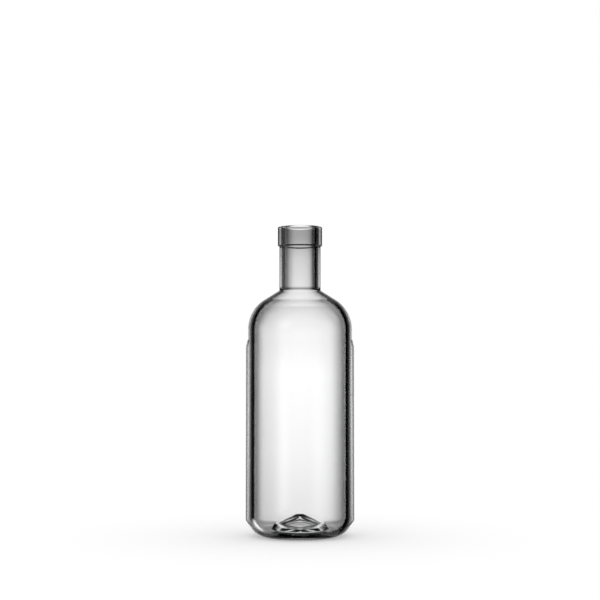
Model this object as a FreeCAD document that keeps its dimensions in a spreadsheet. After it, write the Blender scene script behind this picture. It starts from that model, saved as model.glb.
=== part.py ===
import FreeCAD, Part
import os

import Sketcher

# A clear glass bottle, empty and without its closure: a straight round body with a deep heel, a rounded
# shoulder, a short neck, a square-edged lip and a pushed-up base. A blank clear sleeve stands round the body.
# Millimetres. The origin is the centre of the base on the surface the bottle stands on, and +Z is its axis.

SIZES = [
    # the bottle's outside
    ("height", 240.0, "base to the top of the lip"),
    ("body_radius", 40.4, "outside of the straight body"),
    ("heel_radius", 14.8, "rounding from the base up to the body"),
    ("shoulder_radius", 26.7, "rounding from the body over to the shoulder's slope"),
    ("shoulder_slope", 32.0, "degrees that the shoulder falls away from level"),
    ("neck_length", 34.1, "from the shoulder up to the slope under the lip"),
    ("neck_radius", 16.1, "outside of the straight neck"),
    ("neck_foot_round", 0.8, "rounding in the corner of neck and shoulder"),
    ("lip_overhang", 1.2, "how far the lip stands out from the neck"),
    ("lip_height", 14.8, "the lip's straight band, from its lower edge to the top"),
    ("lip_underside", 0.9, "height of the slope under the lip"),
    ("lip_top_round", 0.9, "rounding of the lip's outer top edge"),
    ("lip_foot_round", 0.5, "rounding of the lip's lower edge"),
    # the bottle's inside
    ("wall", 4.75, "glass in the straight body"),
    ("base_thickness", 4.0, "floor of the inside above the standing surface"),
    ("inner_heel_radius", 11.2, "rounding from the floor up to the wall"),
    ("inner_shoulder_radius", 24.0, "rounding from the wall over to the inner slope"),
    ("inner_slope", 34.5, "degrees that the shoulder's inside falls away from level"),
    ("neck_wall", 4.6, "glass in the neck"),
    ("throat_drop", 1.2, "how far below the neck's foot the bore opens into the shoulder"),
    ("throat_round", 8.0, "rounding where the bore opens"),
    ("mouth_round", 1.3, "rounding of the mouth's top edge"),
    # the pushed-up base, seen from inside
    ("trough_width", 2.15, "level floor between the inner heel and the push-up"),
    ("punt_foot_width", 2.5, "the push-up's steep foot, measured level"),
    ("punt_foot_rise", 5.3, "height of that steep foot"),
    ("punt_slope", 24.8, "degrees that the push-up's cone rises from level"),
    ("punt_tip_radius", 2.5, "level spot that the tip is rounded over"),
    ("punt_foot_round", 1.8, "rounding at the push-up's foot"),
    ("punt_shoulder_round", 4.0, "rounding between the steep foot and the cone"),
    ("punt_tip_round", 5.0, "rounding of the tip"),
    # the pushed-up base, seen from below
    ("bearing_width", 3.1, "level ring that the bottle stands on, inside the heel's rounding"),
    ("hollow_rim_width", 8.8, "the underside's shallower rim between that ring and its cone"),
    ("hollow_rim_rise", 4.6, "how far that rim rises"),
    ("punt_glass", 5.5, "glass between the push-up's tip and the tip of the underside's cone"),
    ("hollow_tip_radius", 0.8, "level spot that the underside's tip is rounded over"),
    ("hollow_tip_round", 1.2, "rounding of the underside's tip"),
    ("hollow_rim_round", 3.0, "rounding of the rim's two corners"),
    # the clear sleeve
    ("sleeve_thickness", 0.4, "plastic film"),
    ("sleeve_gap", 1.35, "air between the film and the straight body"),
    ("sleeve_grip", 0.15, "clearance between the necked-in ends and the glass"),
    ("sleeve_foot_height", 9.3, "lower end, on the heel"),
    ("sleeve_foot_taper", 3.1, "height over which the lower end necks in"),
    ("sleeve_top_margin", 8.5, "from the upper end up to where the shoulder starts to curve"),
    ("sleeve_top_taper", 5.4, "height over which the upper end necks in"),
]

NODES = ["bottle_glass", "clear_sleeve"]

# Heights and radii that several features share, as expressions on the sheet.
LIP_RADIUS = "Sizes.neck_radius + Sizes.lip_overhang"
LIP_FOOT = "Sizes.height - Sizes.lip_height"
NECK_TOP = f"{LIP_FOOT} - Sizes.lip_underside"
NECK_FOOT = f"{NECK_TOP} - Sizes.neck_length"
# The shoulder's slope and the body's side would meet at this height if they weren't rounded.
SLOPE_FOOT = f"{NECK_FOOT} - (Sizes.body_radius - Sizes.neck_radius) * tan(Sizes.shoulder_slope * 1 deg)"
INNER_RADIUS = "Sizes.body_radius - Sizes.wall"
BORE_RADIUS = "(Sizes.neck_radius - Sizes.neck_wall)"
# The push-up starts at the level trough, steep at its foot and then as a gentler cone up to its rounded tip.
PUNT_RADIUS = f"{INNER_RADIUS} - Sizes.inner_heel_radius - Sizes.trough_width"
PUNT_SHOULDER_RADIUS = f"{PUNT_RADIUS} - Sizes.punt_foot_width"
PUNT_SHOULDER = "Sizes.base_thickness + Sizes.punt_foot_rise"
PUNT_RUN = f"({PUNT_SHOULDER_RADIUS} - Sizes.punt_tip_radius)"
PUNT_TIP = f"{PUNT_SHOULDER} + {PUNT_RUN} * tan(Sizes.punt_slope * 1 deg)"

ON_AXIS = {"DistanceX": -2, "DistanceY": -1}
EDGE_FIND = 0.01


def make_sheet(doc):
    """The driving dimensions, one row each: what it is, its value, and the alias that features call it by."""
    sheet = doc.addObject("Spreadsheet::Sheet", "Sizes")
    for row, (alias, value, meaning) in enumerate(SIZES, start=1):
        sheet.set(f"A{row}", meaning)
        sheet.set(f"B{row}", str(value))
        sheet.setAlias(f"B{row}", alias)
    doc.recompute()
    return sheet


def make_body(doc, label):
    body = doc.addObject("PartDesign::Body", label)
    body.Label = label
    return body


def number(body, expression):
    """What an expression on the sheet comes to now, which is where a sketch is first drawn."""
    return float(body.evalExpression(expression))


def tie(body, sketch, side, kind, name, expression):
    """Ties the start of a section's side to the origin, along X or Y, by an expression on the sheet."""
    if expression == "0":
        sketch.addConstraint(Sketcher.Constraint("PointOnObject", side, 1, ON_AXIS[kind]))
        return
    index = sketch.addConstraint(Sketcher.Constraint(kind, -1, 1, side, 1, number(body, expression)))
    sketch.renameConstraint(index, name)
    sketch.setExpression(f"Constraints.{name}", expression)


def add_section(body, name, corners):
    """A closed section in the body's own XZ plane, through corners of (name, radius, height).

    Each radius and height is an expression on the sheet and becomes a named constraint of the sketch.
    """
    sketch = body.newObject("Sketcher::SketchObject", name)
    planes = {plane.Role: plane for plane in body.Origin.OriginFeatures}
    sketch.AttachmentSupport = (planes["XZ_Plane"], "")
    sketch.MapMode = "FlatFace"
    spots = [FreeCAD.Vector(number(body, radius), number(body, height), 0) for _, radius, height in corners]
    count = len(corners)
    for side in range(count):
        sketch.addGeometry(Part.LineSegment(spots[side], spots[(side + 1) % count]), False)
    for side in range(count):
        sketch.addConstraint(Sketcher.Constraint("Coincident", side, 2, (side + 1) % count, 1))
    for side, (corner, radius, height) in enumerate(corners):
        tie(body, sketch, side, "DistanceX", f"{corner}_radius", radius)
        tie(body, sketch, side, "DistanceY", f"{corner}_height", height)
    body.Document.recompute()
    return sketch


def turn(body, kind, name, sketch):
    """Turns a section round the body's axis, as a PartDesign::Revolution or a PartDesign::Groove."""
    feature = body.newObject(f"PartDesign::{kind}", name)
    feature.Profile = sketch
    feature.ReferenceAxis = (sketch, ["V_Axis"])
    feature.Angle = 360.0
    sketch.Visibility = False
    body.Document.recompute()
    return feature


def round_rings(body, name, radius, rings):
    """Fillets the circular edges that lie at each (radius, height), by a radius given as an expression."""
    base = body.Tip
    found = []
    for ring_radius, ring_height in rings:
        wanted = (number(body, ring_radius), number(body, ring_height))
        matches = [
            f"Edge{index}"
            for index, edge in enumerate(base.Shape.Edges, start=1)
            if isinstance(edge.Curve, Part.Circle)
            and abs(edge.Curve.Radius - wanted[0]) < EDGE_FIND
            and abs(edge.Curve.Center.z - wanted[1]) < EDGE_FIND
        ]
        if not matches:
            raise ValueError(f"{name}: no edge at radius {wanted[0]:.2f}, height {wanted[1]:.2f}")
        found.extend(matches)
    fillet = body.newObject("PartDesign::Fillet", name)
    fillet.Base = (base, found)
    fillet.setExpression("Radius", radius)
    body.Document.recompute()
    return fillet


def make_core(doc):
    """The bottle's inside as a solid, from the push-up to the mouth.

    It follows the outside at the wall's thickness, but its shoulder is a little steeper, which thins the
    glass towards the neck.
    """
    body = make_body(doc, "inside_core")
    throat = f"{NECK_FOOT} - Sizes.throat_drop"
    slope_foot = f"{throat} - ({INNER_RADIUS} - {BORE_RADIUS}) * tan(Sizes.inner_slope * 1 deg)"
    section = add_section(body, "inside_section", [
        ("punt_centre", "0", PUNT_TIP),
        ("punt_tip", "Sizes.punt_tip_radius", PUNT_TIP),
        ("punt_shoulder", PUNT_SHOULDER_RADIUS, PUNT_SHOULDER),
        ("punt_foot", PUNT_RADIUS, "Sizes.base_thickness"),
        ("floor_edge", INNER_RADIUS, "Sizes.base_thickness"),
        ("slope_foot", INNER_RADIUS, slope_foot),
        ("throat", BORE_RADIUS, throat),
        ("mouth", BORE_RADIUS, "Sizes.height"),
        ("mouth_centre", "0", "Sizes.height"),
    ])
    turn(body, "Revolution", "inside", section)
    round_rings(body, "inner_heel", "Sizes.inner_heel_radius", [(INNER_RADIUS, "Sizes.base_thickness")])
    round_rings(body, "inner_shoulder", "Sizes.inner_shoulder_radius", [(INNER_RADIUS, slope_foot)])
    round_rings(body, "throat_edge", "Sizes.throat_round", [(BORE_RADIUS, throat)])
    round_rings(body, "punt_foot", "Sizes.punt_foot_round", [(PUNT_RADIUS, "Sizes.base_thickness")])
    round_rings(body, "punt_shoulder", "Sizes.punt_shoulder_round", [(PUNT_SHOULDER_RADIUS, PUNT_SHOULDER)])
    round_rings(body, "punt_tip", "Sizes.punt_tip_round", [("Sizes.punt_tip_radius", PUNT_TIP)])
    return body


def make_glass(doc):
    """The bottle: one piece of glass, turned solid, then hollowed by its core and turned out from below."""
    body = make_body(doc, "bottle_glass")
    outside = add_section(body, "outside_section", [
        ("base_centre", "0", "0"),
        ("base_edge", "Sizes.body_radius", "0"),
        ("slope_foot", "Sizes.body_radius", SLOPE_FOOT),
        ("neck_foot", "Sizes.neck_radius", NECK_FOOT),
        ("neck_top", "Sizes.neck_radius", NECK_TOP),
        ("lip_foot", LIP_RADIUS, LIP_FOOT),
        ("lip_top", LIP_RADIUS, "Sizes.height"),
        ("top_centre", "0", "Sizes.height"),
    ])
    turn(body, "Revolution", "outside", outside)
    round_rings(body, "heel", "Sizes.heel_radius", [("Sizes.body_radius", "0")])
    round_rings(body, "shoulder", "Sizes.shoulder_radius", [("Sizes.body_radius", SLOPE_FOOT)])
    round_rings(body, "neck_foot", "Sizes.neck_foot_round", [("Sizes.neck_radius", NECK_FOOT)])
    round_rings(body, "lip_top", "Sizes.lip_top_round", [(LIP_RADIUS, "Sizes.height")])
    round_rings(body, "lip_foot", "Sizes.lip_foot_round", [
        (LIP_RADIUS, LIP_FOOT),
        ("Sizes.neck_radius", NECK_TOP),
    ])

    hollowing = body.newObject("PartDesign::Boolean", "hollowing")
    hollowing.Type = "Cut"
    hollowing.setObjects([make_core(doc)])
    doc.recompute()
    round_rings(body, "mouth", "Sizes.mouth_round", [(BORE_RADIUS, "Sizes.height")])

    # The underside stands on a level ring, and inside that it is hollowed up into the punt.
    bearing_radius = "Sizes.body_radius - Sizes.heel_radius - Sizes.bearing_width"
    hollow_radius = f"{bearing_radius} - Sizes.hollow_rim_width"
    hollow_tip = f"{PUNT_TIP} - Sizes.punt_glass"
    underside = add_section(body, "underside_section", [
        ("hollow_centre", "0", "0"),
        ("bearing_edge", bearing_radius, "0"),
        ("hollow_rim", hollow_radius, "Sizes.hollow_rim_rise"),
        ("hollow_tip", "Sizes.hollow_tip_radius", hollow_tip),
        ("hollow_top", "0", hollow_tip),
    ])
    turn(body, "Groove", "underside", underside)
    round_rings(body, "hollow_rim", "Sizes.hollow_rim_round", [
        (bearing_radius, "0"),
        (hollow_radius, "Sizes.hollow_rim_rise"),
    ])
    round_rings(body, "hollow_tip", "Sizes.hollow_tip_round", [("Sizes.hollow_tip_radius", hollow_tip)])
    return body


def make_sleeve(doc):
    """The sleeve: a thin clear film tube, off the straight body and necked in to the glass at both ends."""
    body = make_body(doc, "clear_sleeve")
    film_inside = "Sizes.body_radius + Sizes.sleeve_gap"
    film_outside = f"{film_inside} + Sizes.sleeve_thickness"
    top_inside = "Sizes.body_radius + Sizes.sleeve_grip"
    # The lower end lies on the heel, whose radius at that height follows from the heel's rounding.
    foot_inside = (
        "Sizes.body_radius - Sizes.heel_radius + Sizes.sleeve_grip"
        " + sqrt(pow(Sizes.heel_radius; 2) - pow(Sizes.heel_radius - Sizes.sleeve_foot_height; 2))"
    )
    straight_foot = "Sizes.sleeve_foot_height + Sizes.sleeve_foot_taper"
    # The upper end stays clear of the shoulder, whose rounding starts a tangent's length below its corner.
    shoulder_start = f"{SLOPE_FOOT} - Sizes.shoulder_radius * tan(45 deg - Sizes.shoulder_slope * 0.5 deg)"
    sleeve_top = f"{shoulder_start} - Sizes.sleeve_top_margin"
    straight_top = f"{sleeve_top} - Sizes.sleeve_top_taper"
    section = add_section(body, "sleeve_section", [
        ("foot_inside", foot_inside, "Sizes.sleeve_foot_height"),
        ("foot_outside", f"{foot_inside} + Sizes.sleeve_thickness", "Sizes.sleeve_foot_height"),
        ("straight_foot_outside", film_outside, straight_foot),
        ("straight_top_outside", film_outside, straight_top),
        ("top_outside", f"{top_inside} + Sizes.sleeve_thickness", sleeve_top),
        ("top_inside", top_inside, sleeve_top),
        ("straight_top_inside", film_inside, straight_top),
        ("straight_foot_inside", film_inside, straight_foot),
    ])
    turn(body, "Revolution", "sleeve", section)
    return body


def check(doc, bodies):
    """Stops if any feature failed or any piece is missing, broken or not one solid."""
    for item in doc.Objects:
        if "Invalid" in item.State or "Error" in item.State:
            raise RuntimeError(f"{item.Label} failed: {item.State}")
    for body in bodies:
        shape = body.Shape
        if shape.isNull() or not shape.isValid() or len(shape.Solids) != 1:
            raise RuntimeError(f"{body.Label} is not one valid solid")


def main():
    doc = FreeCAD.newDocument("glass_bottle")
    make_sheet(doc)
    bodies = [make_glass(doc), make_sleeve(doc)]
    doc.recompute()
    check(doc, bodies)
    os.makedirs("parts", exist_ok=True)
    for body in bodies:
        body.Shape.exportStep(f"parts/{body.Label}.step")
        print(f"{body.Label}: {body.Shape.Volume / 1000:.2f} cm3")


main()
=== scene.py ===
import math

import bmesh
import bpy
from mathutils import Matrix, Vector


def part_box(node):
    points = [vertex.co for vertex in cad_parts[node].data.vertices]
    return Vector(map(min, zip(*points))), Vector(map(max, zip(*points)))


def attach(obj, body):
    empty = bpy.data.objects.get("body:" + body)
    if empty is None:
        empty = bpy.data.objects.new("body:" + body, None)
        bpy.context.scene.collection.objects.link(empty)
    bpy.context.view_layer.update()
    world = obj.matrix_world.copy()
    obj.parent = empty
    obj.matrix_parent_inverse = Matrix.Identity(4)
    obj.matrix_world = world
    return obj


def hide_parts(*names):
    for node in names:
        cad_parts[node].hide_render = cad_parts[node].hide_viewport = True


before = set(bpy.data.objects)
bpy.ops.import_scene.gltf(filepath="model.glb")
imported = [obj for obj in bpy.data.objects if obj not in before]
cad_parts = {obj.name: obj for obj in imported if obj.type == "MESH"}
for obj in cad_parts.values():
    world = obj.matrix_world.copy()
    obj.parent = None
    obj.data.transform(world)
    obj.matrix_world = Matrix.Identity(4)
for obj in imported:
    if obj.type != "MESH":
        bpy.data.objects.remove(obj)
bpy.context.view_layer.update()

MM = 0.001


# ----------------------------------------------------------------------------------------------------------
# The bottle. One piece of flint glass, blown in a two-part mould: thick in the wall, thicker in the heel, and
# with its base pushed up into a punt. It is drawn as half of its section and turned round the axis.

_, glass_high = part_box("bottle_glass")
BOTTLE_HEIGHT = glass_high.z / MM
BODY_RADIUS = glass_high.x / MM
WALL = 4.75
HEEL_ROUND = 14.8
SHOULDER_ROUND = 26.7
SHOULDER_SLOPE = math.radians(32.0)
INNER_SHOULDER_ROUND = 24.0
INNER_SLOPE = math.radians(34.5)
THROAT_ROUND = 8.0
INNER_HEEL_ROUND = 11.2
NECK_FOOT = (16.1, 190.2)
NECK_FOOT_ROUND = 0.8
THROAT = (11.5, 189.0)
LIP_RADIUS = 17.3
LIP_FOOT = BOTTLE_HEIGHT - 14.8
LIP_UNDERSIDE = 0.9
LIP_FOOT_ROUND = 0.5
LIP_TOP_ROUND = 0.9
MOUTH_ROUND = 1.3
FLOOR = 4.0
STIPPLE_HEIGHT = 0.3
STIPPLE_INSET = 0.3
STIPPLE_ROWS = ((24.2, 25.4), (26.9, 28.1))

# The push-up's corners, each from foot to tip: its upper side in the bottle, and the hollow under it.
PUNT = ((22.3, FLOOR, 1.8), (19.8, 9.3, 4.0), (2.5, 17.3, 5.0), (0, 17.3, 0))
HOLLOW = ((22.5, STIPPLE_HEIGHT, 3.0), (13.7, 4.6, 3.0), (0.8, 11.8, 1.2), (0, 11.8, 0))

AROUND = 256
SAME_SPOT = 0.001
ROUND_STEP = math.radians(4.0)


def draw_straight(profile, tip, spot):
    """Runs a drawn line on from its tip to a spot, and gives the new tip."""
    new_tip = bmesh.ops.extrude_vert_indiv(profile, verts=[tip])["verts"][0]
    new_tip.co = spot
    return new_tip


def draw_round(profile, tip, turn, centre, axis):
    """Runs a drawn line on from its tip round a centre, and gives the new tip."""
    steps = max(3, math.ceil(turn / ROUND_STEP))
    arc = bmesh.ops.spin(profile, geom=[tip], cent=centre, axis=axis, angle=turn, steps=steps)
    return next(item for item in arc["geom_last"] if isinstance(item, bmesh.types.BMVert))


def draw_profile(corners):
    """A line in the XZ plane through corners of (radius, height, rounding) in millimetres."""
    profile = bmesh.new()
    spots = [Vector((radius, 0, height)) * MM for radius, height, _ in corners]
    tip = bmesh.ops.create_vert(profile, co=spots[0])["vert"][0]
    for before, corner, after, (_, _, rounding) in zip(spots, spots[1:], spots[2:], corners[1:]):
        arriving, leaving = (corner - before).normalized(), (after - corner).normalized()
        turn = arriving.angle(leaving)
        tip = draw_straight(profile, tip, corner - arriving * rounding * MM * math.tan(turn / 2))
        if rounding:
            inwards = (leaving - arriving * arriving.dot(leaving)).normalized()
            tip = draw_round(profile, tip, turn, tip.co + inwards * rounding * MM, arriving.cross(leaving))
    draw_straight(profile, tip, spots[-1])
    return profile


def turn_round(profile):
    """Turns a drawn line right round the bottle's axis, closes its poles and points its faces outwards."""
    bmesh.ops.spin(profile, geom=profile.verts[:] + profile.edges[:], axis=(0, 0, 1), angle=math.tau,
                   steps=AROUND, use_merge=True)
    bmesh.ops.remove_doubles(profile, verts=profile.verts, dist=SAME_SPOT * MM)
    bmesh.ops.recalc_face_normals(profile, faces=profile.faces)


def finish_piece(name, shape, material):
    """Makes a finished shape a smooth object, with its shading held to its large faces."""
    for face in shape.faces:
        face.smooth = True
    mesh = bpy.data.meshes.new(name)
    shape.to_mesh(mesh)
    shape.free()
    mesh.materials.append(material)
    piece = bpy.data.objects.new(name, mesh)
    bpy.context.scene.collection.objects.link(piece)
    piece.modifiers.new("even_shading", "WEIGHTED_NORMAL")
    return piece


def add_node(tree, kind, inputs=None, **settings):
    """Adds a node with its settings. An input that is given another node's output is linked to it."""
    node = tree.nodes.new(kind)
    for key, value in settings.items():
        setattr(node, key, value)
    for key, value in (inputs or {}).items():
        if isinstance(value, bpy.types.NodeSocket):
            tree.links.new(value, node.inputs[key])
        else:
            node.inputs[key].default_value = value
    return node


def new_material(name):
    """An empty material, as its node tree and its output node."""
    material = bpy.data.materials.new(name)
    material.use_nodes = True
    material.node_tree.nodes.clear()
    return material, material.node_tree, material.node_tree.nodes.new("ShaderNodeOutputMaterial")


def colour(hex_code):
    """An sRGB hex value as the linear colour that a socket holds."""
    parts = [int(hex_code[place:place + 2], 16) / 255 for place in (1, 3, 5)]
    return [part / 12.92 if part <= 0.04045 else ((part + 0.055) / 1.055) ** 2.4 for part in parts] + [1.0]


# The heel's rounding starts at the outer edge of the stippled ring, a stipple's height above the ground.
heel_start = math.acos(1 - STIPPLE_HEIGHT / HEEL_ROUND)
ring_edge = BODY_RADIUS - HEEL_ROUND + HEEL_ROUND * math.sin(heel_start)
heel_corner = STIPPLE_HEIGHT + (BODY_RADIUS - ring_edge) * math.tan(heel_start)
slope_foot = NECK_FOOT[1] - (BODY_RADIUS - NECK_FOOT[0]) * math.tan(SHOULDER_SLOPE)
inner_slope_foot = THROAT[1] - (BODY_RADIUS - WALL - THROAT[0]) * math.tan(INNER_SLOPE)

underside = [
    *reversed(HOLLOW),
    *[(radius, STIPPLE_HEIGHT, 0) for row in STIPPLE_ROWS for radius in row],
    (ring_edge, STIPPLE_HEIGHT, 0),
]
outside = [
    (BODY_RADIUS, heel_corner, HEEL_ROUND),
    (BODY_RADIUS, slope_foot, SHOULDER_ROUND),
    (*NECK_FOOT, NECK_FOOT_ROUND),
    (NECK_FOOT[0], LIP_FOOT - LIP_UNDERSIDE, LIP_FOOT_ROUND),
    (LIP_RADIUS, LIP_FOOT, LIP_FOOT_ROUND),
    (LIP_RADIUS, BOTTLE_HEIGHT, LIP_TOP_ROUND),
]
inside = [
    (THROAT[0], BOTTLE_HEIGHT, MOUTH_ROUND),
    (*THROAT, THROAT_ROUND),
    (BODY_RADIUS - WALL, inner_slope_foot, INNER_SHOULDER_ROUND),
    (BODY_RADIUS - WALL, FLOOR, INNER_HEEL_ROUND),
    *PUNT,
]
glass_shape = draw_profile(underside + outside + inside)
turn_round(glass_shape)

# The stipples: low nubs moulded on the ring in two staggered rows, each as wide as two faces of the ring.
stipples = []
for face in glass_shape.faces:
    middle = face.calc_center_median() / MM
    step = int(math.atan2(middle.y, middle.x) % math.tau / math.tau * AROUND)
    for row, (inner, outer) in enumerate(STIPPLE_ROWS):
        on_row = inner < middle.xy.length < outer and middle.z < STIPPLE_HEIGHT * 1.01
        if on_row and (step // 2 + row) % 2:
            stipples.append(face)
bmesh.ops.inset_region(glass_shape, faces=stipples, thickness=STIPPLE_INSET * MM, use_even_offset=True)
stipple_corners = list({corner for face in stipples for corner in face.verts})
bmesh.ops.translate(glass_shape, verts=stipple_corners, vec=(0, 0, -STIPPLE_HEIGHT * MM))

# Flint glass, fire-polished: clear, with a trace of green that only shows where the eye looks along the wall.
# The mould and the blowing leave shallow waves in it, about 20 mm from crest to crest and drawn out upwards.
WAVE_LENGTH = 20
WAVE_STRETCH = 0.35
WAVE_HEIGHT = 0.07

flint_glass, tree, output = new_material("flint_glass")
drawn_out = add_node(tree, "ShaderNodeMapping", {
    "Vector": add_node(tree, "ShaderNodeTexCoord").outputs["Object"],
    "Scale": (1.0, 1.0, WAVE_STRETCH),
})
waves = add_node(tree, "ShaderNodeTexNoise", {
    "Vector": drawn_out.outputs["Vector"],
    "Scale": 1 / (WAVE_LENGTH * MM),
    "Detail": 1.0,
})
relief = add_node(tree, "ShaderNodeBump", {"Height": waves.outputs["Fac"], "Distance": WAVE_HEIGHT * MM})
shader = add_node(tree, "ShaderNodeBsdfPrincipled", {
    "Base Color": colour("#FEFEFE"),
    "Roughness": 0.0,
    "IOR": 1.52,
    "Transmission Weight": 1.0,
    "Normal": relief.outputs["Normal"],
})
tint = add_node(tree, "ShaderNodeVolumeAbsorption", {"Color": (0.9, 0.97, 0.95, 1.0), "Density": 3.0})
tree.links.new(shader.outputs["BSDF"], output.inputs["Surface"])
tree.links.new(tint.outputs["Volume"], output.inputs["Volume"])

bottle = finish_piece("bottle", glass_shape, flint_glass)
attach(bottle, "root")
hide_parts("bottle_glass")


# ----------------------------------------------------------------------------------------------------------
# The sleeve. A tube of clear film shrunk round the bottle's straight body, blank, standing a little off the
# glass and necked in at both ends, where it grips.

film_low, film_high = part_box("clear_sleeve")
FILM = 0.4
FILM_RADIUS = film_high.x / MM
FILM_FOOT = film_low.z / MM
FILM_TOP = film_high.z / MM
FOOT_TAPER = 3.1
TOP_TAPER = 5.4
GRIP = 0.15
FILM_BEND = 2.0

foot_radius = (BODY_RADIUS - HEEL_ROUND + GRIP
               + math.sqrt(HEEL_ROUND ** 2 - (HEEL_ROUND - FILM_FOOT) ** 2))
top_radius = BODY_RADIUS + GRIP
film_line = [
    (foot_radius, FILM_FOOT, 0),
    (FILM_RADIUS - FILM, FILM_FOOT + FOOT_TAPER, FILM_BEND),
    (FILM_RADIUS - FILM, FILM_TOP - TOP_TAPER, FILM_BEND),
    (top_radius, FILM_TOP, 0),
]
film_back = [(radius + FILM, height, bend and bend + FILM) for radius, height, bend in reversed(film_line)]
film_shape = draw_profile([*film_line, *film_back, film_line[0]])
turn_round(film_shape)

# Clear polyester film: almost nothing to see from the front, and a thin grey line of painted shade where it
# is seen edge on.
# The shrinking leaves it faintly rippled, with ripples about 15 mm apart and its gloss a little uneven.
RIPPLE_LENGTH = 15
RIPPLE_HEIGHT = 0.03

clear_film, tree, output = new_material("clear_film")
ripples = add_node(tree, "ShaderNodeTexNoise", {
    "Vector": add_node(tree, "ShaderNodeTexCoord").outputs["Object"],
    "Scale": 1 / (RIPPLE_LENGTH * MM),
    "Detail": 2.0,
})
relief = add_node(tree, "ShaderNodeBump", {
    "Height": ripples.outputs["Fac"],
    "Distance": RIPPLE_HEIGHT * MM,
})
gloss = add_node(tree, "ShaderNodeMapRange", {
    "Value": ripples.outputs["Fac"],
    "To Min": 0.08,
    "To Max": 0.22,
})
edge_on = add_node(tree, "ShaderNodeLayerWeight", {"Blend": 0.5})
# Painted shade: the grey edge line is the dark grey base colour below, made opaque only where the film is
# seen edge on.
painted_edge_shade = add_node(tree, "ShaderNodeMapRange", {
    "Value": edge_on.outputs["Facing"],
    "From Min": 0.745, "From Max": 0.775, "To Min": 0.003, "To Max": 0.4,
}, interpolation_type="SMOOTHSTEP")
shader = add_node(tree, "ShaderNodeBsdfPrincipled", {
    "Base Color": colour("#2A2D2E"),
    "Roughness": gloss.outputs["Result"],
    "IOR": 1.57,
    "Alpha": painted_edge_shade.outputs["Result"],
    "Normal": relief.outputs["Normal"],
})
tree.links.new(shader.outputs["BSDF"], output.inputs["Surface"])

sleeve = finish_piece("sleeve", film_shape, clear_film)
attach(sleeve, "root")
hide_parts("clear_sleeve")


# ----------------------------------------------------------------------------------------------------------
# The set. Clear glass shows only what stands round it, so it is lit as bottles are: a soft bright card stands
# behind it for each side that it is seen from, and the rest of what the glass can see is dark. The cards glow
# and are otherwise clear, so that one doesn't hide another.

CARD_AWAY = 500
CARD_REACH = 450
CARD_CENTRE = 95
FAR_CARD_AWAY = 2500
FAR_CARD_TOP = 245
GLOW_SPREAD = 116
GLOW_PEAK = 1.3
GLOW_UP = (
    (-445, 0.05), (-230, 0.3), (-165, 0.86), (-130, 0.96), (-60, 1.13),
    (30, 1.24), (110, 1.04), (160, 0.78), (185, 0.45), (240, 0.3),
)


def stage_piece(name, shape, material):
    """Makes a shape an object of the set, which is no part of the bottle."""
    mesh = bpy.data.meshes.new(name)
    shape.to_mesh(mesh)
    shape.free()
    mesh.materials.append(material)
    piece = bpy.data.objects.new(name, mesh)
    bpy.context.scene.collection.objects.link(piece)
    return piece


def glow_card(name, azimuth, elevation, away, wide=1.0, tall=1.0, top=CARD_REACH):
    """Stands a card, seen in the glass alone, beyond the bottle from a camera's azimuth and elevation."""
    shape = bmesh.new()
    bmesh.ops.create_grid(shape, x_segments=1, y_segments=1, size=CARD_REACH * MM)
    for corner in shape.verts:
        corner.co.y = min(corner.co.y, top * MM)
    card = stage_piece(name, shape, card_glow)
    card.scale = (wide, tall, 1)
    turn, rise = math.radians(azimuth), math.radians(elevation)
    look = Vector((-math.sin(turn) * math.cos(rise), math.cos(turn) * math.cos(rise), -math.sin(rise)))
    card.rotation_euler = look.to_track_quat("Z", "Y").to_euler()
    card.location = Vector((0, 0, CARD_CENTRE * MM)) + look * away * MM
    card.visible_camera = False
    card.visible_diffuse = False
    card.visible_shadow = False


# The card's light: brightest at its middle, falling off evenly to the sides and by steps up and down.
card_glow, tree, output = new_material("card_glow")
place = add_node(tree, "ShaderNodeSeparateXYZ", {
    "Vector": add_node(tree, "ShaderNodeTexCoord").outputs["Object"],
})
across = add_node(tree, "ShaderNodeMath", {0: place.outputs["X"], 1: 1 / (GLOW_SPREAD * MM)},
                  operation="MULTIPLY")
squared = add_node(tree, "ShaderNodeMath", {0: across.outputs[0], 1: across.outputs[0]}, operation="MULTIPLY")
halved = add_node(tree, "ShaderNodeMath", {0: squared.outputs[0], 1: -0.5}, operation="MULTIPLY")
sideways = add_node(tree, "ShaderNodeMath", {0: halved.outputs[0]}, operation="EXPONENT")
up = add_node(tree, "ShaderNodeMapRange", {
    "Value": place.outputs["Y"], "From Min": -CARD_REACH * MM, "From Max": CARD_REACH * MM,
})
upwards = add_node(tree, "ShaderNodeValToRGB", {"Fac": up.outputs["Result"]})
stops = upwards.color_ramp.elements
for height, level in GLOW_UP:
    stop = stops.new((height + CARD_REACH) / (2 * CARD_REACH))
    stop.color = (level / GLOW_PEAK, level / GLOW_PEAK, level / GLOW_PEAK, 1.0)
stops.remove(stops[0])
stops.remove(stops[-1])
strength = add_node(tree, "ShaderNodeMath", {0: sideways.outputs[0], 1: upwards.outputs["Color"]},
                    operation="MULTIPLY")
lifted = add_node(tree, "ShaderNodeMath", {0: strength.outputs[0], 1: GLOW_PEAK}, operation="MULTIPLY")
glow = add_node(tree, "ShaderNodeEmission", {"Color": colour("#FFFFFF"), "Strength": lifted.outputs[0]})
clear = add_node(tree, "ShaderNodeBsdfTransparent")
added = add_node(tree, "ShaderNodeAddShader", {0: glow.outputs["Emission"], 1: clear.outputs["BSDF"]})
tree.links.new(added.outputs["Shader"], output.inputs["Surface"])

glow_card("card_front", 0, 0, CARD_AWAY)
glow_card("card_side", 90, 0, CARD_AWAY)
glow_card("card_back", 225, 15, CARD_AWAY)

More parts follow.
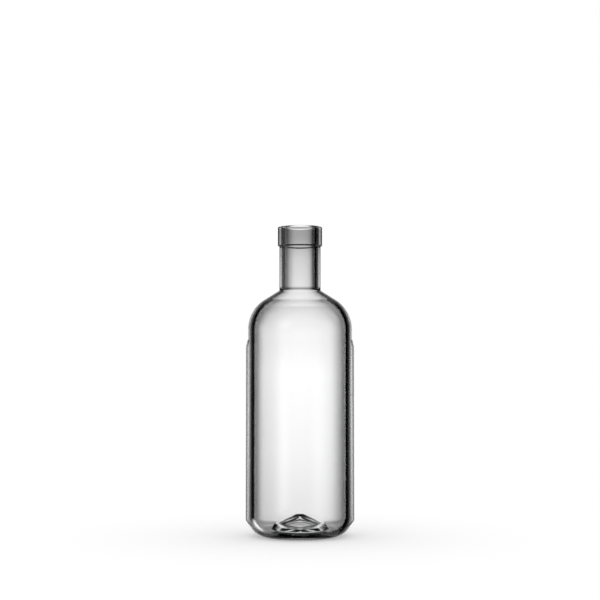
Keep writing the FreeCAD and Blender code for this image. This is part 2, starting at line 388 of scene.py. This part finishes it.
# The card for the view from above stands far off and below the ground, out of the way of the level views.
glow_card("card_high", 45, 25, FAR_CARD_AWAY, wide=2.3, tall=2.74, top=FAR_CARD_TOP)

# The ground: matt white, with the soft shade of the bottle where it stands. The glass doesn't see it.
GROUND_RADIUS = 6000

ground_white, tree, output = new_material("ground_white")
matt = add_node(tree, "ShaderNodeBsdfDiffuse", {"Color": colour("#D5D5D5")})
fill = add_node(tree, "ShaderNodeEmission", {"Color": colour("#FFFFFF"), "Strength": 0.36})
both = add_node(tree, "ShaderNodeAddShader", {0: matt.outputs["BSDF"], 1: fill.outputs["Emission"]})
tree.links.new(both.outputs["Shader"], output.inputs["Surface"])

ground_shape = bmesh.new()
bmesh.ops.create_circle(ground_shape, cap_ends=True, segments=96, radius=GROUND_RADIUS * MM)
ground = stage_piece("ground", ground_shape, ground_white)
ground.visible_transmission = False
ground.visible_glossy = False

# The studio: even white light for the eye and the matt ground, and dark for what the glass sees.
world = bpy.data.worlds.new("studio")
bpy.context.scene.world = world
world.use_nodes = True
tree = world.node_tree
tree.nodes.clear()
output = tree.nodes.new("ShaderNodeOutputWorld")
path = add_node(tree, "ShaderNodeLightPath")
seen = add_node(tree, "ShaderNodeMath", {0: path.outputs["Is Camera Ray"], 1: path.outputs["Is Diffuse Ray"]},
                operation="MAXIMUM")
sky = add_node(tree, "ShaderNodeBackground", {"Color": colour("#FFFFFF"), "Strength": seen.outputs[0]})
tree.links.new(sky.outputs["Background"], output.inputs["Surface"])

EYE_LEVEL = 128
EYE_AWAY = 1082
AIM = 182.9
SENSOR_WIDTH = 36
FOCAL_LENGTH = 83.26

camera_data = bpy.data.cameras.new("camera")
camera = bpy.data.objects.new("camera", camera_data)
bpy.context.scene.collection.objects.link(camera)
camera_data.sensor_width = SENSOR_WIDTH
camera_data.lens = FOCAL_LENGTH
camera.location = Vector((0, -EYE_AWAY, EYE_LEVEL)) * MM
camera.rotation_euler = (math.pi / 2 + math.atan2(AIM - EYE_LEVEL, EYE_AWAY), 0, 0)
bpy.context.scene.camera = camera
bpy.context.scene.view_settings.view_transform = "Standard"
